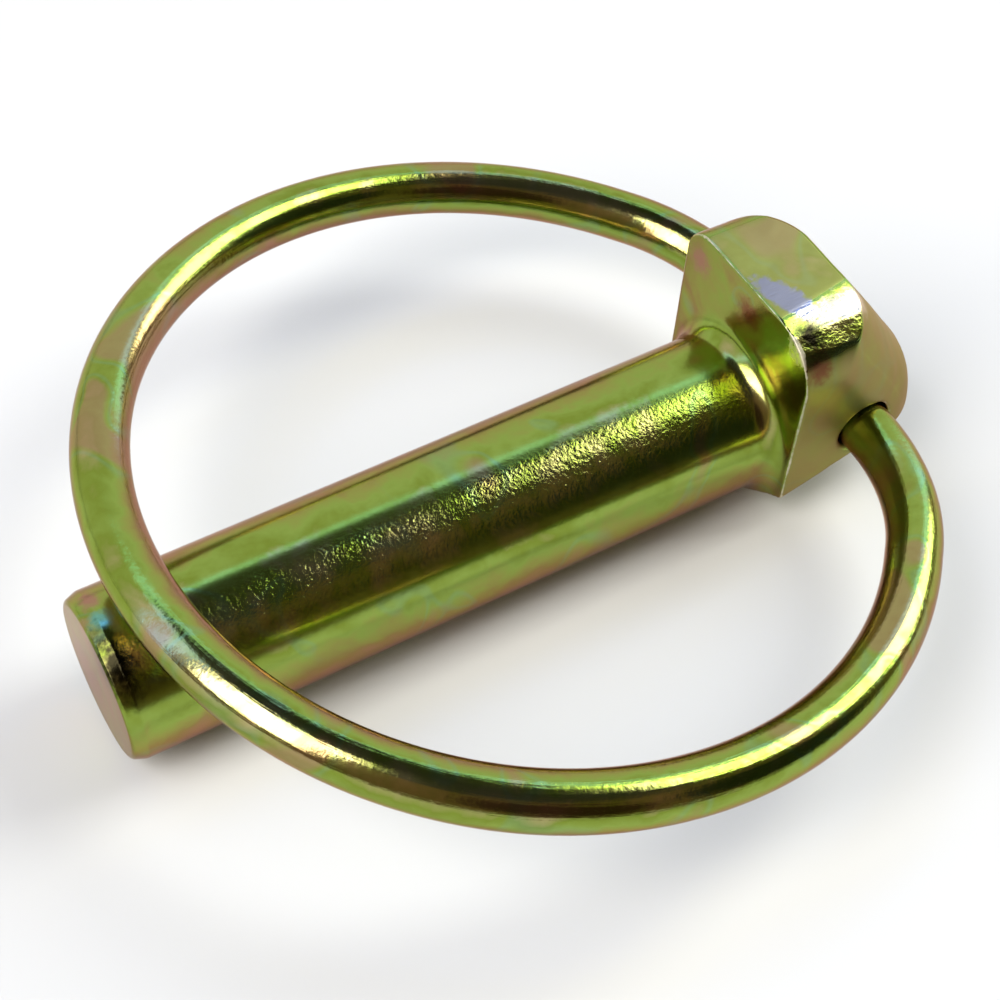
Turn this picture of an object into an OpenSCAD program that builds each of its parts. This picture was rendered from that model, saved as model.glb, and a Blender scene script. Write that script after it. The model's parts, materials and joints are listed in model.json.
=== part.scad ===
// Lynch pin: a forged pin with a flat-sided head, and a spring-wire ring
// hinged in the head's cross hole. The shank runs along X, from its tip to the
// head, and the part lies on its underside as it comes to rest on a table.

/* [Shank] */
// Diameter of the shank
shank_d = 11; // [8:0.5:14]
// Length from the tip to the head's front face
shank_l = 46; // [46:1:70]
// Chamfer on the tip, measured along the shank
tip_chamfer_l = 0.7; // [0.3:0.1:1.5]
// Chamfer on the tip, measured across the shank
tip_chamfer_r = 0.5; // [0.2:0.1:1.5]
// Radius of the hollow neck where the shank runs into the head
neck_r = 1.4; // [0.8:0.2:3]

/* [Head] */
// Length of the head's top flat, along the shank
top_flat_l = 6; // [5:0.1:8]
// How far each side flat stands out from the shank
flat_proud = 1.5; // [1:0.1:3]
// How far the top flat stands above the shank
thumb_rise = 6; // [4:0.1:9]
// How far the head's foot stands below the shank
foot_proud = 0.2; // [0.1:0.1:1]
// Radius along the top flat's right-hand edge, seen from the tip
top_edge_r = 4; // [1:0.1:4.5]
// Radius along the top flat's left-hand edge, seen from the tip
left_edge_r = 2.4; // [1:0.1:4.5]
// Radius of the round nose, seen from the side
nose_r = 7.6; // [6.8:0.1:8.4]
// Radius where the nose rounds into the side flats
nose_edge_r = 5; // [1:0.1:5.5]
// Height of the nose's centre above the shank's axis
nose_z = 0; // [-1:0.1:2]
// Lean of the end face above the nose, in degrees
end_lean = 36; // [30:1:42]
// Lean of the end face below the nose, in degrees
heel_lean = 20; // [10:1:35]
// How far the side flats reach below the shank's axis, at the front
skirt_drop = 2.6; // [1.5:0.1:3.5]
// Slope of the facets under the side flats, in degrees
facet_slope = 34; // [30:1:45]
// Climb of those facets towards the nose, in degrees
facet_climb = 17; // [0:1:20]

/* [Ring hole] */
// Distance of the hole behind the head's front face
hole_back = 6.2; // [5:0.1:7]
// Height of the hole above the shank's axis
hole_rise = 1.6; // [0.5:0.1:3]
// Chamfer on the hole's two mouths
mouth_chamfer = 0.35; // [0.1:0.05:0.5]

/* [Ring] */
// Diameter of the ring's wire
wire_d = 3.65; // [2.5:0.05:4.5]
// Radius of the ring, to the middle of the wire
ring_r = 25.85; // [22:0.05:26.5]
// Radius of the bends that turn the wire into the hole
bend_r = 14; // [10:0.5:17]
// Length of the straight between each bend and the main arc
straight_l = 1; // [0.5:0.1:3]
// Gap between the wire's two ends, inside the head
end_gap = 2; // [1:0.1:5]
// Chamfer on the wire's two ends
wire_chamfer = 0.3; // [0.1:0.05:0.6]
// Height of the closed ring above the shank's top line
ring_stand_off = 1; // [0.6:0.1:6]

/* [Fits] */
// Clearance round the wire in the hole
hole_clearance = 0.08; // [0.04:0.01:0.1]
// Clearance between the side flats and the start of the wire's bends
flat_clearance = 0.35; // [0.2:0.05:1]

/* [Hidden] */

shank_r = shank_d / 2;
wire_r = wire_d / 2;

// the head's extent from the shank's axis
half_w = shank_r + flat_proud;
head_top = shank_r + thumb_rise;
foot_z = -shank_r - foot_proud;

// the nose's centre: the end face leans back from its arc to the top flat's end
nose_x = shank_l + top_flat_l + (head_top - nose_z) * tan(end_lean) - nose_r / cos(end_lean);
overall_l = nose_x + nose_r;

// the hinge, through the middle of the ring hole
hinge_x = shank_l + hole_back;
hinge_z = hole_rise;
hole_r = wire_r + hole_clearance;

// each bend starts straight out of the hole, and runs through a short straight
// into the main arc, which fixes how far the ring's centre is from the hinge
bend_y = half_w + flat_clearance;
arc_step = ring_r - bend_r;
bend_angle = asin(bend_y / norm([arc_step, straight_l])) + atan2(straight_l, arc_step);
centre_s = bend_r + arc_step * cos(bend_angle) + straight_l * sin(bend_angle);

// closed, the wire passes over the shank by the stand-off
ring_reach = centre_s + ring_r;
ring_tilt = asin((shank_r + ring_stand_off + wire_r - hinge_z) / ring_reach);

// the part lies on the origin's plane with its middle over the origin
middle_x = overall_l / 2;

// rounded outlines stand this far outside the flats they run into, and the
// wire's short straights this far outside the bends, so that each surface
// crosses its neighbour and none only touches it
overrun = 0.02;
// length by which one form is buried in the next
root_l = 0.5;
// length by which the nose reaches into the leaning face below it
nose_lap = 0.002;
// length by which the wire's bend reaches into the straight after it
bend_lap = 0.25;
// length by which cutting shapes and outlines reach past the head
past = 10;

// fineness of the turned and bent surfaces
round_fn = 72;
wire_fn = 28;
bend_fn = 96;

function unit(v) = v / norm(v);

// A convex outline with each corner rounded to its own radius
module rounded_outline(points, radii) {
    n = len(points);
    difference() {
        polygon(points);
        for (i = [0:n - 1]) if (radii[i] > 0) {
            q = points[i];
            a = unit(points[(i + n - 1) % n] - q);
            b = unit(points[(i + 1) % n] - q);
            cut = radii[i] / tan(acos(a * b) / 2);
            middle = q + unit(a + b) * norm([cut, radii[i]]);
            difference() {
                polygon([q - (a + b), q + a * cut, middle, q + b * cut]);
                translate(middle) circle(r = radii[i] + overrun, $fn = round_fn);
            }
        }
    }
}

// Turns a drawing of Y and Z into a bar from x0 to x1
module along(x0, x1) {
    translate([x0, 0, 0]) rotate([90, 0, 90]) linear_extrude(x1 - x0) children();
}

// Turns a drawing of Z and radius round the shank's axis, with Z along the shank
module turned() {
    rotate([0, 90, 0]) rotate_extrude($fn = round_fn) children();
}

// The head seen from its front, where the facets start
module front_outline() {
    foot_half = half_w - (-foot_z - skirt_drop) / tan(facet_slope);
    polygon([
        [-foot_half, foot_z],
        [foot_half, foot_z],
        [half_w, -skirt_drop],
        [half_w, head_top],
        [-half_w, head_top],
        [-half_w, -skirt_drop]
    ]);
}

// The side flats and the rounded edges above them
module flats_outline() {
    rounded_outline([
        [-half_w, foot_z - past],
        [half_w, foot_z - past],
        [half_w, head_top + overrun],
        [-half_w, head_top + overrun]
    ], [0, 0, left_edge_r, top_edge_r]);
}

// The end face seen along its own lean, from distance u0 to the nose's radius
module end_outline(u0) {
    edge = half_w + overrun;
    rounded_outline([
        [u0, -edge],
        [nose_r, -edge],
        [nose_r, edge],
        [u0, edge]
    ], [0, nose_edge_r, nose_edge_r, 0]);
}

// The head's end: a leaning face above, the round nose, and a leaning face below
module end_sweep() {
    translate([nose_x, 0, nose_z]) {
        rotate([0, -end_lean, 0]) {
            linear_extrude(2 * past) end_outline(-2 * past);
            difference() {
                rotate([-90, 0, 0]) rotate_extrude(angle = 180, $fn = bend_fn) end_outline(0);
                rotate([0, end_lean + heel_lean, 0])
                    translate([-2 * past, -2 * past, -2 * past - nose_lap])
                        cube([4 * past, 4 * past, 2 * past]);
            }
        }
        rotate([0, heel_lean, 0]) translate([0, 0, -2 * past])
            linear_extrude(2 * past) end_outline(-2 * past);
    }
}

// What is cut away under one side flat, to leave the facet
module facet_cut() {
    translate([shank_l, half_w, -skirt_drop]) rotate([0, -facet_climb, 0])
        rotate([facet_slope, 0, 0]) translate([-past, -2 * past, -2 * past])
            cube([4 * past, 4 * past, 2 * past]);
}

module head() {
    difference() {
        intersection() {
            translate([shank_l, -half_w - past, foot_z])
                cube([3 * past, 2 * (half_w + past), head_top - foot_z]);
            along(shank_l - past, shank_l + 2 * past) flats_outline();
            end_sweep();
        }
        for (side = [0, 1]) mirror([0, side, 0]) facet_cut();
    }
}

// The plain turned bar, with its chamfered tip, run into the head to hold it
module bar() {
    turned() polygon([
        [0, 0],
        [shank_r - tip_chamfer_r, 0],
        [shank_r, tip_chamfer_l],
        [shank_r, shank_l + root_l],
        [0, shank_l + root_l]
    ]);
}

// The hollow neck, trimmed to the head's front outline
module neck() {
    intersection() {
        turned() translate([0, shank_l - neck_r]) difference() {
            square([shank_r + neck_r, neck_r]);
            translate([shank_r + neck_r, 0]) circle(r = neck_r, $fn = round_fn);
        }
        along(shank_l - neck_r - root_l, shank_l + root_l) front_outline();
    }
}

// The hole for the ring, with its two chamfered mouths
module ring_hole() {
    translate([hinge_x, 0, hinge_z]) rotate([90, 0, 0]) {
        cylinder(r = hole_r, h = 2 * half_w + past, center = true, $fn = round_fn);
        for (side = [0, 1]) mirror([0, 0, side])
            translate([0, 0, half_w - mouth_chamfer])
                cylinder(r1 = hole_r, r2 = hole_r + 2 * mouth_chamfer,
                    h = 2 * mouth_chamfer, $fn = round_fn);
    }
}

// The wire's round section, at the given distance from what it bends about
module wire_section(radius) {
    translate([radius, 0]) circle(r = wire_r, $fn = wire_fn);
}

// The straight end of the wire, along Y, with a chamfered tip in the head
module wire_end() {
    rotate([-90, 0, 0]) translate([0, 0, end_gap / 2]) {
        cylinder(r1 = wire_r - wire_chamfer, r2 = wire_r, h = wire_chamfer, $fn = wire_fn);
        translate([0, 0, wire_chamfer])
            cylinder(r = wire_r, h = bend_y - end_gap / 2 - wire_chamfer, $fn = wire_fn);
    }
}

// The wire's bend, its short straight, and half a circle of the main arc
module bent_wire() {
    translate([-bend_r, bend_y, 0]) {
        difference() {
            rotate_extrude(angle = 90, $fn = bend_fn) wire_section(bend_r);
            rotate([0, 0, bend_angle]) translate([0, bend_lap, -wire_d])
                cube([2 * bend_r, 2 * bend_r, 2 * wire_d]);
        }
        rotate([0, 0, bend_angle]) translate([bend_r, 0, 0]) {
            rotate([-90, 0, 0]) cylinder(r = wire_r + overrun, h = straight_l, $fn = wire_fn);
            translate([-ring_r, straight_l, 0])
                rotate_extrude(angle = 180, $fn = bend_fn) wire_section(ring_r);
        }
    }
}

// The half of the ring on one side of the shank
module half_ring() {
    intersection() {
        union() {
            wire_end();
            bent_wire();
        }
        translate([-3 * ring_r, 0, -wire_d]) cube([4 * ring_r, 2 * ring_r, 2 * wire_d]);
    }
}

// Moves a piece from the ring's plane, with the hinge at its origin, to its place
module on_hinge() {
    translate([hinge_x, 0, hinge_z]) rotate([0, ring_tilt, 0]) children();
}

// Stands the part on the table, with its middle over the origin
module on_table() {
    translate([-middle_x, 0, -foot_z]) children();
}

module pin() {
    color("#a9a050") on_table() difference() {
        union() {
            bar();
            neck();
            head();
        }
        ring_hole();
    }
}

module ring() {
    color("#b7ab58") on_table() on_hinge()
        for (side = [0, 1]) mirror([0, side, 0]) half_ring();
}

pin();
ring();
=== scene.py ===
import json
import math

import bmesh
import bpy
from mathutils import Matrix, Vector, noise


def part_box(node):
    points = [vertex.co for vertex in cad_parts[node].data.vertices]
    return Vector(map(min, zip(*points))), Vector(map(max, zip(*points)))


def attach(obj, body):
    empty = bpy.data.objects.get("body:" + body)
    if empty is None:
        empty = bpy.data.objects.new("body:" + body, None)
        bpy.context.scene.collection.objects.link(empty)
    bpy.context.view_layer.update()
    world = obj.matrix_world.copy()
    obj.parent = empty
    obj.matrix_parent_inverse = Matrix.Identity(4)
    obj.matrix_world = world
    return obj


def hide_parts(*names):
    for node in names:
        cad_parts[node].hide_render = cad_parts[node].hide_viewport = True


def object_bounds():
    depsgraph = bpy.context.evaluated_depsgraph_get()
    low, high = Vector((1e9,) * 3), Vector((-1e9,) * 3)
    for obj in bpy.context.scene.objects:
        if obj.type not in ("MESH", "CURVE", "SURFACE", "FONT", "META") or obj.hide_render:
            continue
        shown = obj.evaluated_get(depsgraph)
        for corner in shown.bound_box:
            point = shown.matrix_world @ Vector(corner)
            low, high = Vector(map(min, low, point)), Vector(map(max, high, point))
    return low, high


bl_info = {
    "name": "Lynch Pin",
    "version": (1, 0, 0),
    "blender": (4, 5, 0),
    "location": "View3D > Sidebar > Lynch Pin",
    "description": "Dresses a zinc plated lynch pin and its spring wire ring, and lights them",
    "category": "Add Mesh",
}

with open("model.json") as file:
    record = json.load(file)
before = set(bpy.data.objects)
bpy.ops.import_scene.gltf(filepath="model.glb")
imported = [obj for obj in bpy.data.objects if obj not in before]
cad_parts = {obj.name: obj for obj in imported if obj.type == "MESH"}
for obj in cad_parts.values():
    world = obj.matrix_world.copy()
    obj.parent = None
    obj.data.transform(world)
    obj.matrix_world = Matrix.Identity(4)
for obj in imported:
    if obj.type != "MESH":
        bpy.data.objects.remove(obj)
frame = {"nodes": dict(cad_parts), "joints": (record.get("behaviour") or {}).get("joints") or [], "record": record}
CAD_LOW, CAD_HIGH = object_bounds()
PIN_LOW, PIN_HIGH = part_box("pin")
RING_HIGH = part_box("ring")[1]
MM = 0.001

# What the frame says of the shank and of the ring's hinge
SHANK = frame["record"]["mounts"][0]
HINGE = frame["joints"][0]
SHANK_R = SHANK["dims"]["r_mm"] * MM
AXIS_Z = SHANK["pos_m"][2]
TIP_X = PIN_LOW.x
HINGE_AT = Vector(HINGE["pos_m"])

# Vertices nearer to each other than this are joined: in a CAD mesh, and along a seam
CAD_MERGE = 0.001 * MM
SEAM_MERGE = 0.01 * MM


# ---------------------------------------------------------------- sizes and colours

def linear(colour):
    """An sRGB hex colour as linear red, green, blue and alpha"""
    parts = [int(colour[i:i + 2], 16) / 255 for i in (1, 3, 5)]
    return tuple(p / 12.92 if p <= 0.04045 else ((p + 0.055) / 1.055) ** 2.4
                 for p in parts) + (1.0,)


def colour_property(name, description, colour):
    """A colour that can be changed in the panel"""
    return bpy.props.FloatVectorProperty(name=name, description=description, subtype="COLOR",
                                         size=4, min=0, max=1, default=linear(colour))


class PinSizes(bpy.types.PropertyGroup):
    """Sizes of the forged pin's finish"""
    cell: bpy.props.FloatProperty(
        name="Mesh cell", description="Size of one cell of the forged head's mesh",
        default=0.13 * MM, unit="LENGTH")
    shank_length: bpy.props.FloatProperty(
        name="Shank length", description="From the tip to the head's front face",
        default=46 * MM, unit="LENGTH")
    chamfer_length: bpy.props.FloatProperty(
        name="Tip chamfer length", description="Chamfer on the tip, along the shank",
        default=0.9 * MM, unit="LENGTH")
    chamfer_depth: bpy.props.FloatProperty(
        name="Tip chamfer depth", description="Chamfer on the tip, across the shank",
        default=0.5 * MM, unit="LENGTH")
    break_length: bpy.props.FloatProperty(
        name="Tip break length", description="Steep start of the tip's chamfer, along the shank",
        default=0.14 * MM, unit="LENGTH")
    break_depth: bpy.props.FloatProperty(
        name="Tip break depth", description="Steep start of the tip's chamfer, across the shank",
        default=0.22 * MM, unit="LENGTH")
    tip_edge: bpy.props.FloatProperty(
        name="Tip edge", description="Radius of the edges of the tip's chamfer",
        default=0.1 * MM, unit="LENGTH")
    turned_sides: bpy.props.IntProperty(
        name="Shank sides", description="Number of sides round the shank", default=192, min=24)
    neck_reach: bpy.props.FloatProperty(
        name="Neck reach", description="Length of shank that the forged head keeps",
        default=3 * MM, unit="LENGTH")
    edge_passes: bpy.props.IntProperty(
        name="Edge rounding", description="Passes of smoothing over the head's edges",
        default=5, min=0)
    unevenness: bpy.props.FloatProperty(
        name="Forging unevenness", description="Depth of the head's hammered unevenness",
        default=0.07 * MM, unit="LENGTH")
    facet_start: bpy.props.FloatProperty(
        name="Facet start", description="From the pin's middle to the facet along the head's top",
        default=2.7 * MM, unit="LENGTH")
    facet_slope: bpy.props.FloatProperty(
        name="Facet slope", description="Slope of that facet towards the side",
        default=math.radians(11), subtype="ANGLE")
    facet_fall: bpy.props.FloatProperty(
        name="Facet fall", description="Slope of that facet towards the nose",
        default=math.radians(2), subtype="ANGLE")
    ridge_at: bpy.props.FloatProperty(
        name="Ridge place", description="From the pin's middle to the ridge below that facet",
        default=4.6 * MM, unit="LENGTH")
    ridge_slope: bpy.props.FloatProperty(
        name="Ridge slope", description="Slope of the flat below the ridge",
        default=math.radians(31), subtype="ANGLE")


class RingSizes(bpy.types.PropertyGroup):
    """Sizes of the spring wire ring"""
    wire_d: bpy.props.FloatProperty(
        name="Wire diameter", description="Diameter of the spring wire",
        default=3.65 * MM, unit="LENGTH")
    bend_r: bpy.props.FloatProperty(
        name="Bend radius", description="Radius of the bends into the head, to the wire's middle",
        default=14 * MM, unit="LENGTH")
    straight: bpy.props.FloatProperty(
        name="Straight", description="Straight between each bend and the main arc",
        default=1 * MM, unit="LENGTH")
    bend_start: bpy.props.FloatProperty(
        name="Bend start", description="Distance of the bend's start from the pin's middle",
        default=7.35 * MM, unit="LENGTH")
    end_gap: bpy.props.FloatProperty(
        name="End gap", description="Gap between the wire's two ends, inside the head",
        default=2 * MM, unit="LENGTH")
    end_chamfer: bpy.props.FloatProperty(
        name="End chamfer", description="Chamfer on the wire's ends",
        default=0.3 * MM, unit="LENGTH")
    sides: bpy.props.IntProperty(
        name="Sides", description="Number of sides round the wire", default=44, min=12)
    step: bpy.props.FloatProperty(
        name="Step", description="Distance between the wire's rings of vertices",
        default=0.25 * MM, unit="LENGTH")


class PlatingColours(bpy.types.PropertyGroup):
    """Colours of the yellow zinc plating: its film from the thinnest to the thickest, whose ends also paint a
    grazing sheen and a highlight tint, then the places where it is matt, worn or scraped, pink patches, and
    painted reflections and a painted highlight on the tip and the head"""
    # Pink: the film's own pink in the blush and the patches, and a painted grazing sheen where the film's facing
    # lays it on the sides seen edge on
    pink_film_and_edge_sheen: colour_property("Edge on", "Thinnest film, on the sides edge on in the bath", "#A47C66")
    flank: colour_property("Flank", "Film on the flanks", "#93804E")
    tan: colour_property("Tan", "Film between the flanks and the lime", "#93964C")
    lime: colour_property("Lime", "Film that shows lime", "#8BA24A")
    olive: colour_property("Olive", "Film that shows olive", "#7C8E35")
    # Painted highlight tint: the gold is kept pale where the highlights fall, so they show cream
    gold: colour_property("Gold", "Thickest film", "#AD9F70")
    dull: colour_property("Dull", "Matt film on the head's forged faces", "#948856")
    # Also the teal patch on the shank by the tip, a painted bluish reflection
    teal: colour_property("Teal", "Narrow veins between lime and pink", "#6FA894")
    worn: colour_property("Worn", "Pale zinc along the worn ridges", "#D2CCB8")
    scraped: colour_property("Scraped", "Zinc scraped grey on the head's top", "#868790")
    # Painted dark reflection: the black patches by the tip and below the facet stand for dark room reflected there
    painted_dark_reflection: colour_property("Burnt", "Dark residue by the tip and below the facet", "#1E1C12")
    # Painted highlight: this pale patch on the facet paints its highlight strip cream
    pale: colour_property("Pale", "Pale film on the facet along the head's top", "#C6B59E")
    # Painted reflection: the brown patches below the facet and on the head's front face stand for brown
    # surroundings reflected there
    painted_brown_reflection: colour_property("Ruddy", "Brown patches on the head", "#80583C")
    glare: colour_property("Glare", "Warm tint of the metal where it is seen edge on", "#E6CFC4")


def pattern_property(name, description, size):
    """The size of one patch, grain or line of a pattern, given in millimetres"""
    return bpy.props.FloatProperty(name=name, description=description, default=size * MM,
                                   unit="LENGTH")


class PlatingPatterns(bpy.types.PropertyGroup):
    """Real sizes of the patterns in the plating"""
    vein: pattern_property("Veins", "Distance between the teal veins", 5.8824)
    patch: pattern_property("Patches", "Slow patches of thicker and thinner film", 4.5455)
    gap: pattern_property("Worn lengths", "Length of the breaks in a worn edge", 2.2222)
    calm: pattern_property("Calm patches", "Patches where the crinkle is shallower", 2.0)
    fleck: pattern_property("Flecks", "Flecks within the patches of film", 1.1111)
    stroke: pattern_property("Scrapes", "Length of the scrapes on the head's top", 0.71429)
    rim: pattern_property("Ragged rim", "Ragged rims of the patches, and the wire's grain", 0.45455)
    crinkle: pattern_property("Crinkle", "Folds of the crinkled plating", 0.29412)
    line: pattern_property("Drawn lines", "Width of the lines drawn along the wire", 0.38462)
    line_length: pattern_property("Line length", "Length of the lines along the wire", 14.2857)
    relief: pattern_property("Crinkle depth", "Depth of the crinkle on the forging", 0.045)
    line_relief: pattern_property("Line depth", "Depth of the lines drawn on the wire", 0.035)


class Studio(bpy.types.PropertyGroup):
    """The camera and the lights"""
    azimuth: bpy.props.FloatProperty(
        name="Camera azimuth", description="Turn of the camera round the pin",
        default=math.radians(-33.496), subtype="ANGLE")
    elevation: bpy.props.FloatProperty(
        name="Camera elevation", description="Height of the camera above the table",
        default=math.radians(52.131), subtype="ANGLE")
    roll: bpy.props.FloatProperty(
        name="Camera roll", description="Turn of the camera about its own axis",
        default=math.radians(-4.055), subtype="ANGLE")
    distance: bpy.props.FloatProperty(
        name="Camera distance", description="From the camera to what it aims at",
        default=124.881 * MM, unit="LENGTH")
    aim: bpy.props.FloatVectorProperty(
        name="Aim", description="Point that the camera aims at",
        default=(-1.0915 * MM, 0.2129 * MM, 5.9192 * MM), subtype="XYZ", unit="LENGTH")
    lens: bpy.props.FloatProperty(
        name="Lens", description="Focal length in millimetres", default=69.129)


def settings(name):
    """The property group of that name, on the scene"""
    return getattr(bpy.context.scene, name)


# ---------------------------------------------------------------- small helpers

def add(tree, kind, inputs=None, **attributes):
    """Adds a node with its settings, and a value or a link for each input that is named"""
    node = tree.nodes.new(kind)
    for name, value in attributes.items():
        setattr(node, name, value)
    for name, value in (inputs or {}).items():
        if isinstance(value, bpy.types.NodeSocket):
            tree.links.new(value, node.inputs[name])
        else:
            node.inputs[name].default_value = value
    return node


def new_material(name):
    """An empty node material"""
    material = bpy.data.materials.new(name)
    material.use_nodes = True
    material.node_tree.nodes.clear()
    return material


def fill_ramp(elements, stops):
    """Gives a colour ramp its (place, colour) stops"""
    while len(elements) > 1:
        elements.remove(elements[-1])
    elements[0].position, elements[0].color = stops[0]
    for place, colour in stops[1:]:
        elements.new(place).color = colour


def new_piece(name, bm, material):
    """A finished piece from a bmesh, with its material"""
    mesh = bpy.data.meshes.new(name)
    bm.to_mesh(mesh)
    bm.free()
    for face in mesh.polygons:
        face.use_smooth = True
    piece = bpy.data.objects.new(name, mesh)
    bpy.context.scene.collection.objects.link(piece)
    mesh.materials.append(material)
    return piece


# ---------------------------------------------------------------- materials

# A Mix node has sockets of each name for every type of data: these are its colours
MIX_A, MIX_B, MIX_RESULT = 6, 7, 2

# The ways that the film's broad side and the crinkled side of the bar face. The film's way paints colour by
# facing: pink, a painted grazing sheen, on the sides at right angles to it, and pale gold, a painted highlight
# tint, on the sides square to it
FILM_AND_SHEEN_WAY = (-0.45, -0.45, 0.77)
CRINKLED_SIDE = (0.0, -0.5, 0.866)

# How far out a spot reaches, in its own radii, before the noise on its rim is added
SPOT_REACH = 1.35


def layered(tree, colour, layers):
    """Lays (share, colour) layers over a colour, each over the one before"""
    for share, layer in layers:
        colour = add(tree, "ShaderNodeMix", {"Factor": share, MIX_A: colour, MIX_B: layer},
                     data_type="RGBA").outputs[MIX_RESULT]
    return colour


def spot(tree, coords, centre, radii, rim, turn=0.0, core=1.0):
    """A round patch at a place, turned about Z, with the noise of rim on its edge: the
    smaller its core, the softer it is"""
    near = add(tree, "ShaderNodeMapping", {"Vector": coords, "Location": centre, "Scale": radii,
                                           "Rotation": (0, 0, math.radians(turn))},
               vector_type="TEXTURE")
    size = add(tree, "ShaderNodeVectorMath", {0: near.outputs["Vector"]}, operation="LENGTH")
    ragged = add(tree, "ShaderNodeMath", {0: size.outputs["Value"], 1: rim}, operation="ADD")
    return add(tree, "ShaderNodeMapRange", {"Value": ragged.outputs["Value"],
                                            "From Min": SPOT_REACH, "From Max": core},
               interpolation_type="SMOOTHSTEP").outputs["Result"]


def film_colour(tree, coords):
    """The passive film's colour: it runs from pink and tan, a painted grazing sheen on the sides edge on to one
    fixed way, through lime to a pale gold on the two sides square to it, a painted highlight tint, and wanders in
    patches and veins"""
    colours, patterns = settings("lynch_plating"), settings("lynch_patterns")
    place = add(tree, "ShaderNodeTexCoord")
    facing = add(tree, "ShaderNodeVectorMath", {0: place.outputs["Normal"], 1: FILM_AND_SHEEN_WAY},
                 operation="DOT_PRODUCT")
    broad = add(tree, "ShaderNodeMath", {0: facing.outputs["Value"]}, operation="ABSOLUTE")
    patch = add(tree, "ShaderNodeTexNoise", {"Vector": coords, "Scale": MM / patterns.patch,
                                             "Detail": 3.0, "Roughness": 0.55,
                                             "Distortion": 0.8})
    fleck = add(tree, "ShaderNodeTexNoise", {"Vector": coords, "Scale": MM / patterns.fleck,
                                             "Detail": 3.0, "Roughness": 0.6,
                                             "Distortion": 0.4})
    # How much the way that a side faces (the painted sheen and highlight tint), the slow patches and the flecks
    # add to the film
    thinnest, by_side, by_patch, by_fleck = 0.085, 0.5, 0.38, 0.12
    film = thinnest
    for part, share in ((broad.outputs["Value"], by_side), (patch.outputs["Fac"], by_patch),
                        (fleck.outputs["Fac"], by_fleck)):
        film = add(tree, "ShaderNodeMath", {0: part, 1: share, 2: film},
                   operation="MULTIPLY_ADD").outputs["Value"]
    # The ramp's pink end is a painted grazing sheen and its pale gold end a painted highlight tint
    hues = add(tree, "ShaderNodeValToRGB", {"Fac": film})
    fill_ramp(hues.color_ramp.elements,
              [(0.39, colours.pink_film_and_edge_sheen), (0.50, colours.flank), (0.58, colours.tan),
               (0.66, colours.lime), (0.75, colours.olive), (0.88, colours.gold)])
    # The veins lie where this noise is near one level, and pink blushes where it is higher
    vein_level, vein_half_width, vein_strength = 0.585, 0.035, 0.16
    blush_start, blush_full, blush_strength = 0.60, 0.68, 0.55
    vein = add(tree, "ShaderNodeTexNoise", {"Vector": coords, "Scale": MM / patterns.vein,
                                            "Detail": 1.0, "Distortion": 0.6}).outputs["Fac"]
    off = add(tree, "ShaderNodeMath", {0: vein, 1: vein_level}, operation="SUBTRACT")
    near = add(tree, "ShaderNodeMath", {0: off.outputs["Value"]}, operation="ABSOLUTE")
    on_vein = add(tree, "ShaderNodeMapRange", {"Value": near.outputs["Value"],
                                               "From Min": vein_half_width, "From Max": 0.0,
                                               "To Max": vein_strength},
                  interpolation_type="SMOOTHSTEP")
    blush = add(tree, "ShaderNodeMapRange", {"Value": vein, "From Min": blush_start,
                                             "From Max": blush_full, "To Max": blush_strength},
                interpolation_type="SMOOTHSTEP")
    return layered(tree, hues.outputs["Color"], [(on_vein.outputs["Result"], colours.teal),
                                                 (blush.outputs["Result"], colours.pink_film_and_edge_sheen)])


def finish(tree, colour, roughness, height, depth):
    """The plated metal itself, whose gloss and fine relief give its broken reflections"""
    bump = add(tree, "ShaderNodeBump", {"Height": height, "Strength": 1.0, "Distance": depth})
    shader = add(tree, "ShaderNodeBsdfPrincipled",
                 {"Base Color": colour, "Roughness": roughness, "Normal": bump.outputs["Normal"],
                  "Metallic": 1.0, "Specular Tint": settings("lynch_plating").glare})
    add(tree, "ShaderNodeOutputMaterial", {"Surface": shader.outputs["BSDF"]})


def dull_share(tree, place, coords):
    """Where the plating is matt: the head's sides and end face, and less so its top"""
    facing = add(tree, "ShaderNodeSeparateXYZ", {"Vector": place.outputs["Normal"]})
    where = add(tree, "ShaderNodeSeparateXYZ", {"Vector": coords})
    aside = add(tree, "ShaderNodeMath", {0: facing.outputs["Y"]}, operation="ABSOLUTE")
    dull = 0.0
    # Each way's facing where the matt film starts and where it is full, and how strong it is
    for way, low, high, most in ((aside.outputs["Value"], 0.72, 0.92, 1.0),
                                 (facing.outputs["X"], 0.25, 0.5, 1.0),
                                 (facing.outputs["Z"], 0.985, 0.998, 0.75)):
        face = add(tree, "ShaderNodeMapRange", {"Value": way, "From Min": low,
                                                "From Max": high, "To Max": most},
                   interpolation_type="SMOOTHSTEP")
        dull = add(tree, "ShaderNodeMath", {0: face.outputs["Result"], 1: dull},
                   operation="MAXIMUM").outputs["Value"]
    # The glossy bar turns to the head just before and past its front face, in millimetres
    head_start = (TIP_X + settings("lynch_pin").shank_length) / MM
    before, past = 0.6, 0.1
    on_head = add(tree, "ShaderNodeMapRange", {"Value": where.outputs["X"],
                                               "From Min": head_start - before,
                                               "From Max": head_start + past},
                  interpolation_type="SMOOTHSTEP")
    return add(tree, "ShaderNodeMath", {0: dull, 1: on_head.outputs["Result"]},
               operation="MULTIPLY").outputs["Value"]


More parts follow.
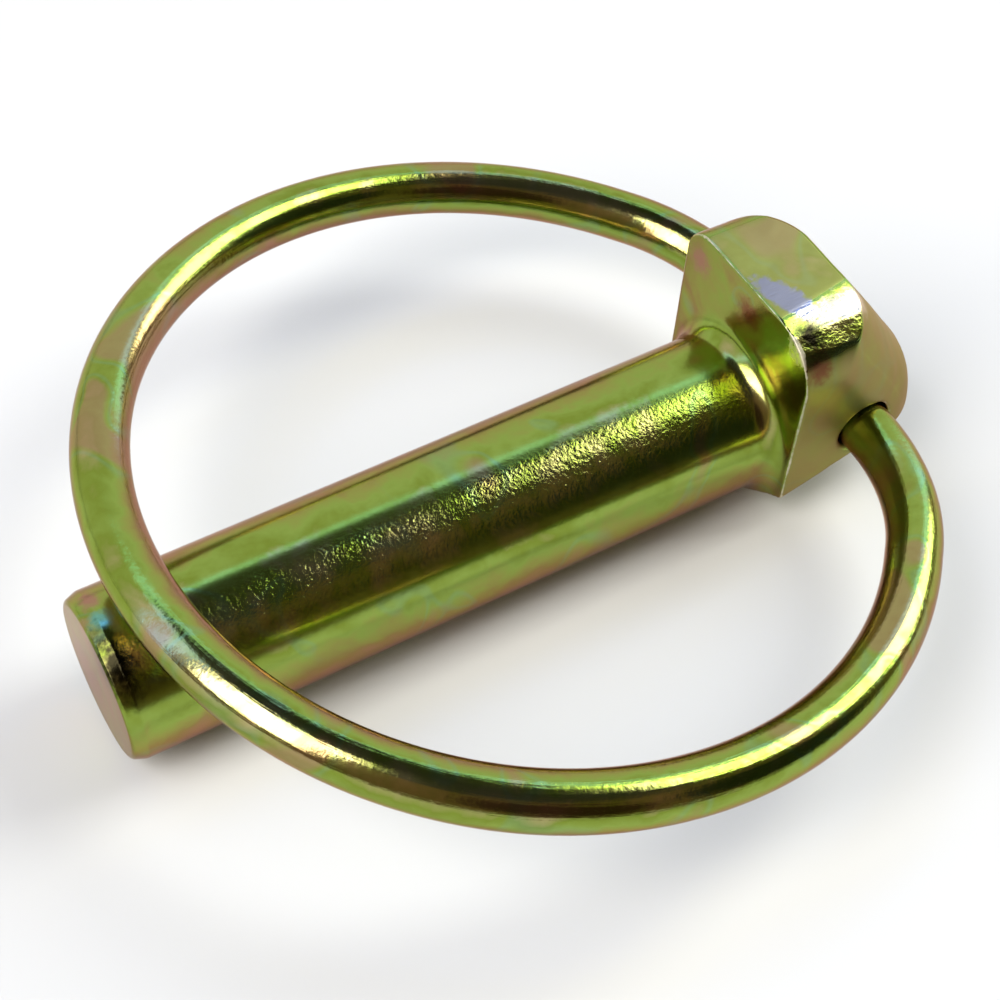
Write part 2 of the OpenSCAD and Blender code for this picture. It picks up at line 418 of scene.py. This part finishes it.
def worn_share(tree, coords, ragged, broken):
    """Where the plating is rubbed down to pale zinc: broken lengths of the sharp edges, and
    the facet's front corner"""
    own = add(tree, "ShaderNodeAttribute", attribute_name="wear")
    rubbed = spot(tree, coords, (16.8, -5.2, 16.2), (0.5, 1.7, 1.9), ragged)
    wear = own.outputs["Fac"]
    wear_starts, wear_full, most_wear = 1.45, 2.0, 0.9
    for part, share in ((ragged, 0.8), (broken, 0.8), (rubbed, 1.0)):
        wear = add(tree, "ShaderNodeMath", {0: part, 1: share, 2: wear},
                   operation="MULTIPLY_ADD").outputs["Value"]
    return add(tree, "ShaderNodeMapRange", {"Value": wear, "From Min": wear_starts,
                                            "From Max": wear_full, "To Max": most_wear},
               interpolation_type="SMOOTHSTEP").outputs["Result"]


def forged_relief(tree, normal, crinkle, calm, strokes, scraped):
    """The crinkle of the plating, deepest on the bar's upper side, and the scrapes"""
    upper = add(tree, "ShaderNodeVectorMath", {0: normal, 1: CRINKLED_SIDE},
                operation="DOT_PRODUCT")
    height = crinkle
    # Where the crinkle is least and where it is full, and how much of it the least is
    for value, low, high, least in ((calm, 0.3, 0.6, 0.6),
                                    (upper.outputs["Value"], 0.93, 0.98, 0.1)):
        share = add(tree, "ShaderNodeMapRange", {"Value": value, "From Min": low,
                                                 "From Max": high, "To Min": least},
                    interpolation_type="SMOOTHSTEP")
        height = add(tree, "ShaderNodeMath", {0: height, 1: share.outputs["Result"]},
                     operation="MULTIPLY").outputs["Value"]
    scrape_depth = 0.4
    scrape = add(tree, "ShaderNodeMath", {0: strokes, 1: scraped}, operation="MULTIPLY")
    return add(tree, "ShaderNodeMath", {0: scrape.outputs["Value"], 1: scrape_depth, 2: height},
               operation="MULTIPLY_ADD").outputs["Value"]


def plated_forging():
    """Yellow zinc on a forging: crinkled and glossy on the shank and the head's rounded
    edges, dull on its side faces, and worn to pale zinc along its ridges"""
    colours, patterns = settings("lynch_plating"), settings("lynch_patterns")
    material = new_material("zinc_plated_forging")
    tree = material.node_tree
    place = add(tree, "ShaderNodeTexCoord")
    coords = add(tree, "ShaderNodeMapping", {"Vector": place.outputs["Object"],
                                             "Scale": (1 / MM, 1 / MM, 1 / MM)}).outputs["Vector"]
    # The scrapes are narrow across the head, so their noise is squeezed along Y
    across = add(tree, "ShaderNodeMapping", {"Vector": coords, "Scale": (0.9, 5.0, 1.0)})
    ragged, broken, crinkle, calm, strokes = [
        add(tree, "ShaderNodeTexNoise", {"Vector": along, "Scale": MM / size, "Detail": detail,
                                         "Roughness": roughness,
                                         "Distortion": distortion}).outputs["Fac"]
        for along, size, detail, roughness, distortion in (
            (coords, patterns.rim, 4.0, 0.6, 0.0), (coords, patterns.gap, 3.0, 0.6, 0.0),
            (coords, patterns.crinkle, 3.0, 0.55, 0.3), (coords, patterns.calm, 2.0, 0.5, 0.0),
            (across.outputs["Vector"], patterns.stroke, 2.0, 0.5, 0.0))]
    # How strong the matt colour is, how ragged the patches' rims are, and their firm core
    dull_strength, scraped_rim, patch_rim, patch_core = 0.65, 0.8, 0.9, 0.6
    dull = dull_share(tree, place, coords)
    matt, rough_rim, soft_rim = [
        add(tree, "ShaderNodeMath", {0: value, 1: share}, operation="MULTIPLY").outputs["Value"]
        for value, share in ((dull, dull_strength), (ragged, scraped_rim), (ragged, patch_rim))]
    scraped = spot(tree, coords, (18.3, -1.8, 17.2), (1.25, 3.3, 0.8), rough_rim, turn=20.0)
    worn = worn_share(tree, coords, ragged, broken)
    layers = [(matt, colours.dull), (scraped, colours.scraped), (worn, colours.worn)]
    # Each patch's middle and radii in millimetres: the tip's, then the head's
    for centre, radii, patch in (((-29.4, 1.5, 4.0), (0.4, 4.2, 4.2), colours.pink_film_and_edge_sheen),
                                 ((-28.3, 2.3, 10.8), (1.0, 1.8, 1.2), colours.pink_film_and_edge_sheen),
                                 # Painted bluish reflection on the shank's top by the tip
                                 ((-28.2, 0.3, 11.2), (1.3, 1.1, 0.8), colours.teal),
                                 # Painted dark reflection and shadow on the shank by the tip
                                 ((-28.6, -2.5, 10.2), (1.7, 3.9, 3.5), colours.painted_dark_reflection),
                                 ((16.7, 5.4, 14.9), (0.7, 1.7, 1.7), colours.pink_film_and_edge_sheen),
                                 # Painted highlight on the facet's strip
                                 ((22.0, -3.8, 16.8), (5.4, 1.6, 1.8), colours.pale),
                                 # Painted dark reflection below the facet's highlight strip
                                 ((18.0, -4.8, 16.6), (1.6, 1.9, 1.7), colours.painted_dark_reflection),
                                 # Painted brown reflection below the facet
                                 ((17.9, -6.4, 15.2), (1.5, 1.4, 1.8), colours.painted_brown_reflection),
                                 # Painted brown reflection on the head's front face
                                 ((16.7, -0.3, 15.0), (0.9, 2.2, 1.7), colours.painted_brown_reflection)):
        layers.append((spot(tree, coords, centre, radii, soft_rim, core=patch_core), patch))
    colour = layered(tree, film_colour(tree, coords), layers)
    height = forged_relief(tree, place.outputs["Normal"], crinkle, calm, strokes, scraped)
    # The plating's roughness, from its glossy parts to its matt and worn ones
    glossy, rough = 0.17, 0.5
    rubbed = add(tree, "ShaderNodeMath", {0: dull, 1: worn}, operation="MAXIMUM")
    roughness = add(tree, "ShaderNodeMapRange", {"Value": rubbed.outputs["Value"],
                                                 "To Min": glossy, "To Max": rough},
                    interpolation_type="SMOOTHSTEP").outputs["Result"]
    finish(tree, colour, roughness, height, patterns.relief)
    return material


def plated_wire():
    """Yellow zinc on drawn spring wire: smooth and glossy, with fine lines along the wire.
    The die's real lines are under 0.1 mm wide, too fine to show, so they are drawn wider"""
    patterns = settings("lynch_patterns")
    material = new_material("zinc_plated_spring_wire")
    tree = material.node_tree
    coords = add(tree, "ShaderNodeAttribute", attribute_name="wire").outputs["Vector"]
    width = MM / patterns.line
    lines = add(tree, "ShaderNodeMapping", {"Vector": coords,
                                            "Scale": (MM / patterns.line_length, width, width)})
    drawn = add(tree, "ShaderNodeTexNoise", {"Vector": lines.outputs["Vector"], "Scale": 1.0,
                                             "Detail": 4.0, "Roughness": 0.65})
    grain = add(tree, "ShaderNodeTexNoise", {"Vector": coords, "Scale": MM / patterns.rim,
                                             "Detail": 3.0, "Roughness": 0.6})
    height = 0.0
    for part, share in ((drawn, 0.6), (grain, 0.4)):
        height = add(tree, "ShaderNodeMath", {0: part.outputs["Fac"], 1: share, 2: height},
                     operation="MULTIPLY_ADD").outputs["Value"]
    glossy = 0.14
    finish(tree, film_colour(tree, coords), glossy, height, patterns.line_relief)
    return material


def white_paper():
    """Matt white background paper: pale, plain and without gloss"""
    material = new_material("matt_white_paper")
    tree = material.node_tree
    shader = add(tree, "ShaderNodeBsdfPrincipled",
                 {"Base Color": linear("#CDCDCD"), "Roughness": 0.9, "Specular IOR Level": 0.1})
    add(tree, "ShaderNodeOutputMaterial", {"Surface": shader.outputs["BSDF"]})
    return material


# ---------------------------------------------------------------- the forged pin

def dense_copy(node, cell):
    """A closed copy of a CAD node, remeshed to even cells"""
    bm = bmesh.new()
    bm.from_mesh(frame["nodes"][node].data)
    bmesh.ops.remove_doubles(bm, verts=bm.verts, dist=CAD_MERGE)
    mesh = bpy.data.meshes.new("casting")
    bm.to_mesh(mesh)
    bm.free()
    carrier = bpy.data.objects.new("casting", mesh)
    bpy.context.scene.collection.objects.link(carrier)
    remesh = carrier.modifiers.new("cells", "REMESH")
    remesh.mode = "VOXEL"
    remesh.voxel_size = cell
    remesh.adaptivity = 0.0
    done = carrier.evaluated_get(bpy.context.evaluated_depsgraph_get())
    bm = bmesh.new()
    bm.from_mesh(done.data)
    bpy.data.objects.remove(carrier)
    bpy.data.meshes.remove(mesh)
    return bm


def cut_off_shank(bm, x):
    """Keeps the forged head and its neck only"""
    bmesh.ops.bisect_plane(bm, geom=bm.verts[:] + bm.edges[:] + bm.faces[:], dist=0.0001 * MM,
                           plane_co=(x, 0, 0), plane_no=(1, 0, 0), clear_inner=True)


def trim_facet(bm, sizes):
    """The glossy facet along the near edge of the head's top, lower towards the nose, and
    the steeper flat below its ridge"""
    slope, fall = math.tan(sizes.facet_slope), math.tan(sizes.facet_fall)
    steep = math.tan(sizes.ridge_slope) - slope
    behind_face = 2 * MM
    start_x = TIP_X + sizes.shank_length + behind_face
    for v in bm.verts:
        if v.co.y < 0:
            height = PIN_HIGH.z + slope * (v.co.y + sizes.facet_start) - fall * (v.co.x - start_x)
            height += steep * min(v.co.y + sizes.ridge_at, 0)
            v.co.z = min(v.co.z, height)


def round_edges(bm, passes):
    """Rounds the head's edges a little with each pass"""
    for _ in range(passes):
        bmesh.ops.smooth_vert(bm, verts=[v for v in bm.verts if not v.is_boundary], factor=0.5,
                              use_axis_x=True, use_axis_y=True, use_axis_z=True)


def true_the_shank(bm, end):
    """Puts the vertices beside the cut on the shank's true cylinder"""
    for v in bm.verts:
        if v.co.x < end:
            across = Vector((0, v.co.y, v.co.z - AXIS_Z))
            across *= SHANK_R / across.length
            v.co.y, v.co.z = across.y, AXIS_Z + across.z


def make_uneven(bm, start, depth):
    """Presses slow hollows into the head, which fade out towards the shank"""
    fade, hollow, dent = 1.5 * MM, 2.6 * MM, 1.1 * MM
    mean, swing = 0.75, 0.5
    bm.normal_update()
    moves = []
    for v in bm.verts:
        share = min(max((v.co.x - start) / fade, 0), 1)
        wave = noise.noise(v.co / hollow) + 0.5 * noise.noise(v.co / dent)
        moves.append(v.normal * (-depth * share * (mean + swing * wave)))
    for v, move in zip(bm.verts, moves):
        v.co += move


def mark_wear(bm, cell):
    """Marks how sharply the head's surface turns outwards, which is where it is worn"""
    least_bend, bend_range = 0.015, 0.06
    layer = bm.verts.layers.float.new("wear")
    bm.normal_update()
    for v in bm.verts:
        if v.is_boundary or not v.link_edges:
            continue
        middle = sum((e.other_vert(v).co for e in v.link_edges), Vector()) / len(v.link_edges)
        bend = (v.co - middle).dot(v.normal) / cell
        v[layer] = min(max((bend - least_bend) / bend_range, 0), 1)


def add_turned_shank(bm, sizes, end):
    """The turned shank: its end face, a chamfer with a steep break, and the bar"""
    layer = bm.verts.layers.float["wear"]
    arc_steps, rim_wear = 4, 0.5
    edge, rim = sizes.tip_edge, SHANK_R - sizes.chamfer_depth
    corners = [Vector((0, 0, rim)), Vector((sizes.break_length, 0, rim + sizes.break_depth)),
               Vector((sizes.chamfer_length, 0, SHANK_R))]
    ways = [Vector((0, 0, 1)), (corners[1] - corners[0]).normalized(),
            (corners[2] - corners[1]).normalized(), Vector((1, 0, 0))]
    # The end face from its middle out, then each corner's small rounding
    profile = [(Vector((0, 0, 0)), 0.0), (Vector((0, 0, rim / 2)), 0.0),
               (Vector((0, 0, rim - 3 * edge)), 0.0)]
    for corner, before, after in zip(corners, ways, ways[1:]):
        first, last = corner - before * edge, corner + after * edge
        for step in range(arc_steps + 1):
            t = step / arc_steps
            curve = first * (1 - t) ** 2 + corner * 2 * t * (1 - t) + last * t ** 2
            profile.append((curve, rim_wear if step == arc_steps // 2 and before.x == 0 else 0.0))
    # Short steps by the tip and long ones along the plain bar
    for share in (0.05, 0.1, 0.2, 0.4, 0.6, 0.8, 1.0):
        profile.append((Vector((share * (end - TIP_X), 0, SHANK_R)), 0.0))
    verts = []
    for place, wear in profile:
        verts.append(bm.verts.new(place + Vector((TIP_X, 0, AXIS_Z))))
        verts[-1][layer] = wear
    edges = [bm.edges.new(pair) for pair in zip(verts, verts[1:])]
    bmesh.ops.spin(bm, geom=verts + edges, cent=(0, 0, AXIS_Z), axis=(1, 0, 0),
                   angle=2 * math.pi, steps=sizes.turned_sides, use_merge=True)
    made = [v for v in bm.verts if v.co.x < end + SEAM_MERGE]
    bmesh.ops.remove_doubles(bm, verts=made, dist=CAD_MERGE)


def make_pin():
    """The pin: a forged head from the CAD's shape, joined to a turned shank"""
    sizes = settings("lynch_pin")
    head_x = TIP_X + sizes.shank_length
    cut_x = head_x - sizes.neck_reach
    bm = dense_copy("pin", sizes.cell)
    cut_off_shank(bm, cut_x)
    trim_facet(bm, sizes)
    round_edges(bm, sizes.edge_passes)
    # The half of the neck beside the bar is turned true, and the unevenness starts past it
    rough_part, uneven_part, bridge = 0.55 * sizes.neck_reach, 0.5 * sizes.neck_reach, 0.25 * MM
    true_the_shank(bm, head_x - rough_part)
    make_uneven(bm, head_x - uneven_part, sizes.unevenness)
    mark_wear(bm, sizes.cell)
    add_turned_shank(bm, sizes, cut_x - bridge)
    bmesh.ops.bridge_loops(bm, edges=[e for e in bm.edges if e.is_boundary])
    bmesh.ops.recalc_face_normals(bm, faces=bm.faces)
    piece = new_piece("forged_pin", bm, plated_forging())
    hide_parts("pin")
    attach(piece, "pin")


# ---------------------------------------------------------------- the spring wire ring

def wire_lengths(sizes):
    """The ring's radius, the angle of each bend, and its centre's distance from the hinge"""
    ring_r = RING_HIGH.y - sizes.wire_d / 2
    step = ring_r - sizes.bend_r
    angle = (math.asin(sizes.bend_start / math.hypot(step, sizes.straight))
             + math.atan2(sizes.straight, step))
    centre = sizes.bend_r + step * math.cos(angle) + sizes.straight * math.sin(angle)
    return ring_r, angle, centre


def open_edges(geom):
    """The edges among this geometry"""
    return [g for g in geom if isinstance(g, bmesh.types.BMEdge)]


def vertices(geom):
    """The vertices among this geometry"""
    return [g for g in geom if isinstance(g, bmesh.types.BMVert)]


def draw_on(bm, edges, move, steps=1):
    """Extrudes the wire's open end along a straight, in equal steps"""
    for _ in range(steps):
        new = bmesh.ops.extrude_edge_only(bm, edges=edges)["geom"]
        bmesh.ops.translate(bm, verts=vertices(new), vec=move / steps)
        edges = open_edges(new)
    return edges


def bend_on(bm, edges, centre, angle, radius, step):
    """Bends the wire's open end about a centre in the ring's plane"""
    fewest = 8
    steps = max(fewest, round(angle * radius / step))
    new = bmesh.ops.spin(bm, geom=edges, cent=centre, axis=(0, 0, 1), angle=angle,
                         steps=steps, use_duplicate=False)["geom_last"]
    return open_edges(new)


def wire_place(x, y, sizes, ring_r, angle, centre):
    """Along half the wire from the arc's middle, and out from its centre line, at a point
    in the ring's plane"""
    along = ring_r * (math.pi - angle)
    turn = math.atan2(y, x + centre)
    rounding = 1e-5
    if turn > angle - rounding:
        return ring_r * (math.pi - turn), math.hypot(x + centre, y) - ring_r
    bend = math.atan2(y - sizes.bend_start, x + sizes.bend_r)
    if bend > angle:
        before = (x + centre) * math.sin(angle) - y * math.cos(angle)
        return along + before, (x + centre) * math.cos(angle) + y * math.sin(angle) - ring_r
    along += sizes.straight
    if bend > 0:
        return (along + sizes.bend_r * (angle - bend),
                math.hypot(x + sizes.bend_r, y - sizes.bend_start) - sizes.bend_r)
    return along + sizes.bend_r * angle + sizes.bend_start - y, x


def make_ring():
    """The ring: a wire end in the head's hole, a bend and half the main arc, then its mirror"""
    sizes = settings("lynch_ring")
    ring_r, angle, centre = wire_lengths(sizes)
    wire_r = sizes.wire_d / 2
    bm = bmesh.new()
    start = Matrix.Translation((0, sizes.end_gap / 2, 0)) @ Matrix.Rotation(math.pi / 2, 4, "X")
    end = bmesh.ops.create_circle(bm, cap_ends=True, segments=sizes.sides,
                                  radius=wire_r - sizes.end_chamfer, matrix=start)["verts"]
    edges = list({e for v in end for e in v.link_edges})
    new = bmesh.ops.extrude_edge_only(bm, edges=edges)["geom"]
    grow = wire_r / (wire_r - sizes.end_chamfer)
    bmesh.ops.scale(bm, verts=vertices(new), vec=(grow, 1, grow))
    bmesh.ops.translate(bm, verts=vertices(new), vec=(0, sizes.end_chamfer, 0))
    edges = open_edges(new)
    rest = sizes.bend_start - sizes.end_gap / 2 - sizes.end_chamfer
    edges = draw_on(bm, edges, Vector((0, rest, 0)), round(rest / sizes.step))
    edges = bend_on(bm, edges, (-sizes.bend_r, sizes.bend_start, 0), angle, sizes.bend_r, sizes.step)
    way = Vector((-math.sin(angle), math.cos(angle), 0))
    edges = draw_on(bm, edges, way * sizes.straight, round(sizes.straight / sizes.step))
    bend_on(bm, edges, (-centre, 0, 0), math.pi - angle, ring_r, sizes.step)
    both = bmesh.ops.duplicate(bm, geom=bm.verts[:] + bm.edges[:] + bm.faces[:])["geom"]
    bmesh.ops.scale(bm, verts=vertices(both), vec=(1, -1, 1))
    bmesh.ops.remove_doubles(bm, verts=bm.verts, dist=SEAM_MERGE)
    bmesh.ops.recalc_face_normals(bm, faces=bm.faces)
    layer = bm.verts.layers.float_vector.new("wire")
    for v in bm.verts:
        along, out = wire_place(v.co.x, abs(v.co.y), sizes, ring_r, angle, centre)
        v[layer] = Vector((along if v.co.y >= 0 else -along, out, v.co.z)) / MM
    tilt = ring_tilt(ring_r, centre, wire_r)
    bmesh.ops.rotate(bm, verts=bm.verts, cent=(0, 0, 0), matrix=Matrix.Rotation(tilt, 3, "Y"))
    bmesh.ops.translate(bm, verts=bm.verts, vec=HINGE_AT)
    piece = new_piece("wire_ring", bm, plated_wire())
    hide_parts("ring")
    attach(piece, "ring")


def ring_tilt(ring_r, centre, wire_r):
    """The closed ring's slope: its far end is the ring box's highest or lowest point"""
    reach = centre + ring_r
    return math.asin((RING_HIGH.z - wire_r - HINGE_AT.z) / reach)


# ---------------------------------------------------------------- the stage

def directed(azimuth, elevation):
    """The way towards an azimuth and an elevation; azimuth 0 is towards -Y, 90 towards +X"""
    return Vector((math.sin(azimuth) * math.cos(elevation),
                   -math.cos(azimuth) * math.cos(elevation), math.sin(elevation)))


def make_camera(studio):
    """The camera, aimed at the pin from its azimuth and elevation"""
    back = directed(studio.azimuth, studio.elevation)
    right = Vector((0, 0, 1)).cross(back).normalized()
    up = back.cross(right)
    turn = Matrix((right, up, back)).transposed() @ Matrix.Rotation(-studio.roll, 3, "Z")
    data = bpy.data.cameras.new("camera")
    data.lens = studio.lens
    data.sensor_width = 36
    data.clip_start, data.clip_end = 0.005, 20
    camera = bpy.data.objects.new("camera", data)
    bpy.context.scene.collection.objects.link(camera)
    place = Vector(studio.aim) + back * studio.distance
    camera.matrix_world = Matrix.Translation(place) @ turn.to_4x4()
    bpy.context.scene.camera = camera


def make_floor():
    """A sheet of paper, flat under the pin"""
    half_width = 3
    bm = bmesh.new()
    bmesh.ops.create_grid(bm, x_segments=1, y_segments=1, size=half_width)
    bmesh.ops.translate(bm, verts=bm.verts, vec=(0, 0, CAD_LOW.z))
    floor = new_piece("floor", bm, white_paper())


def make_softbox(name, azimuth, elevation, width, height, distance, power, colour):
    """A rectangular soft light that faces the pin"""
    data = bpy.data.lights.new(name, "AREA")
    data.shape = "RECTANGLE"
    data.size, data.size_y = width, height
    data.energy = power
    data.color = linear(colour)[:3]
    lamp = bpy.data.objects.new(name, data)
    bpy.context.scene.collection.objects.link(lamp)
    way = directed(math.radians(azimuth), math.radians(elevation))
    lamp.location = way * distance
    lamp.rotation_mode = "QUATERNION"
    lamp.rotation_quaternion = way.to_track_quat("Z", "Y")


def make_world():
    """The room that the metal reflects: a white sweep behind with a bluish rim, a brown room
    in front with two darker places, a dark ceiling, and the pale table at the horizon"""
    # Linear light, so that the rim can be brighter than white paper
    brown_room, dark_right = (0.22, 0.15, 0.08, 1), (0.03, 0.035, 0.03, 1)
    dark_front, dark_ceiling = (0.06, 0.03, 0.025, 1), (0.05, 0.05, 0.06, 1)
    bluish_rim, white_sweep = (1.3, 2.0, 4.0, 1), (0.95, 0.95, 0.95, 1)
    pale_table = (0.75, 0.75, 0.75, 1)
    world = bpy.data.worlds.new("studio_room")
    world.use_nodes = True
    tree = world.node_tree
    tree.nodes.clear()
    way = add(tree, "ShaderNodeTexCoord").outputs["Generated"]
    axes = add(tree, "ShaderNodeSeparateXYZ", {"Vector": way})
    layers = []
    for azimuth, elevation, radius, dark in ((42, 22, 0.32, dark_right),
                                             (-10, 27, 0.30, dark_front)):
        centre = directed(math.radians(azimuth), math.radians(elevation))
        layers.append((spot(tree, way, centre, (radius, radius, radius), rim=0.0), dark))
    # Where each band of the room starts and is full, in the way's own coordinates
    ceiling, rim_side, rim_top, sweep_side, sweep_top, horizon = [
        add(tree, "ShaderNodeMapRange", {"Value": axes.outputs[axis], "From Min": low,
                                         "From Max": high},
            interpolation_type="SMOOTHSTEP").outputs["Result"]
        for axis, low, high in (("Z", 0.70, 0.88), ("Y", 0.22, 0.28), ("Z", 0.885, 0.86),
                                ("Y", 0.29, 0.42), ("Z", 0.84, 0.80), ("Z", 0.05, 0.0))]
    rim, sweep = [
        add(tree, "ShaderNodeMath", {0: side, 1: top}, operation="MULTIPLY").outputs["Value"]
        for side, top in ((rim_side, rim_top), (sweep_side, sweep_top))]
    layers += [(ceiling, dark_ceiling), (rim, bluish_rim), (sweep, white_sweep),
               (horizon, pale_table)]
    shade = add(tree, "ShaderNodeBackground", {"Color": layered(tree, brown_room, layers),
                                               "Strength": 1.0})
    add(tree, "ShaderNodeOutputWorld", {"Surface": shade.outputs["Background"]})
    bpy.context.scene.world = world


def make_stage():
    """The camera, the floor, the room and the two softboxes"""
    make_camera(settings("lynch_studio"))
    make_floor()
    make_world()
    make_softbox("left_softbox", azimuth=-82, elevation=42, width=0.29, height=0.55,
                 distance=0.6, power=4.4, colour="#FFFCF4")
    make_softbox("right_softbox", azimuth=87, elevation=39, width=0.28, height=0.53,
                 distance=0.6, power=4.1, colour="#FDFFF8")
    bpy.context.scene.view_settings.view_transform = "Standard"


# ---------------------------------------------------------------- operators and panel

class LYNCHPIN_OT_pin(bpy.types.Operator):
    """Makes the forged pin"""
    bl_idname = "lynchpin.pin"
    bl_label = "Forged Pin"

    def execute(self, context):
        make_pin()
        return {"FINISHED"}


class LYNCHPIN_OT_ring(bpy.types.Operator):
    """Makes the spring wire ring"""
    bl_idname = "lynchpin.ring"
    bl_label = "Wire Ring"

    def execute(self, context):
        make_ring()
        return {"FINISHED"}


class LYNCHPIN_OT_stage(bpy.types.Operator):
    """Makes the floor, the lights and the camera"""
    bl_idname = "lynchpin.stage"
    bl_label = "Stage"

    def execute(self, context):
        make_stage()
        return {"FINISHED"}


class LYNCHPIN_PT_panel(bpy.types.Panel):
    """Lists the pieces and their sizes"""
    bl_idname = "LYNCHPIN_PT_panel"
    bl_label = "Lynch Pin"
    bl_space_type = "VIEW_3D"
    bl_region_type = "UI"
    bl_category = "Lynch Pin"

    def draw(self, context):
        for group, operator in (("lynch_plating", ""), ("lynch_patterns", ""),
                                ("lynch_pin", "lynchpin.pin"), ("lynch_ring", "lynchpin.ring"),
                                ("lynch_studio", "lynchpin.stage")):
            box = self.layout.box()
            owner = getattr(context.scene, group)
            for name in owner.__annotations__:
                box.prop(owner, name)
            if operator:
                box.operator(operator)


GROUPS = {"lynch_pin": PinSizes, "lynch_ring": RingSizes, "lynch_plating": PlatingColours,
          "lynch_patterns": PlatingPatterns, "lynch_studio": Studio}
CLASSES = (*GROUPS.values(), LYNCHPIN_OT_pin, LYNCHPIN_OT_ring, LYNCHPIN_OT_stage,
           LYNCHPIN_PT_panel)


def register():
    for cls in CLASSES:
        bpy.utils.register_class(cls)
    for name, group in GROUPS.items():
        setattr(bpy.types.Scene, name, bpy.props.PointerProperty(type=group))


def unregister():
    for name in GROUPS:
        delattr(bpy.types.Scene, name)
    for cls in reversed(CLASSES):
        bpy.utils.unregister_class(cls)


def main():
    register()
    bpy.ops.lynchpin.pin()
    bpy.ops.lynchpin.ring()
    bpy.ops.lynchpin.stage()


if __name__ == "__main__":
    main()
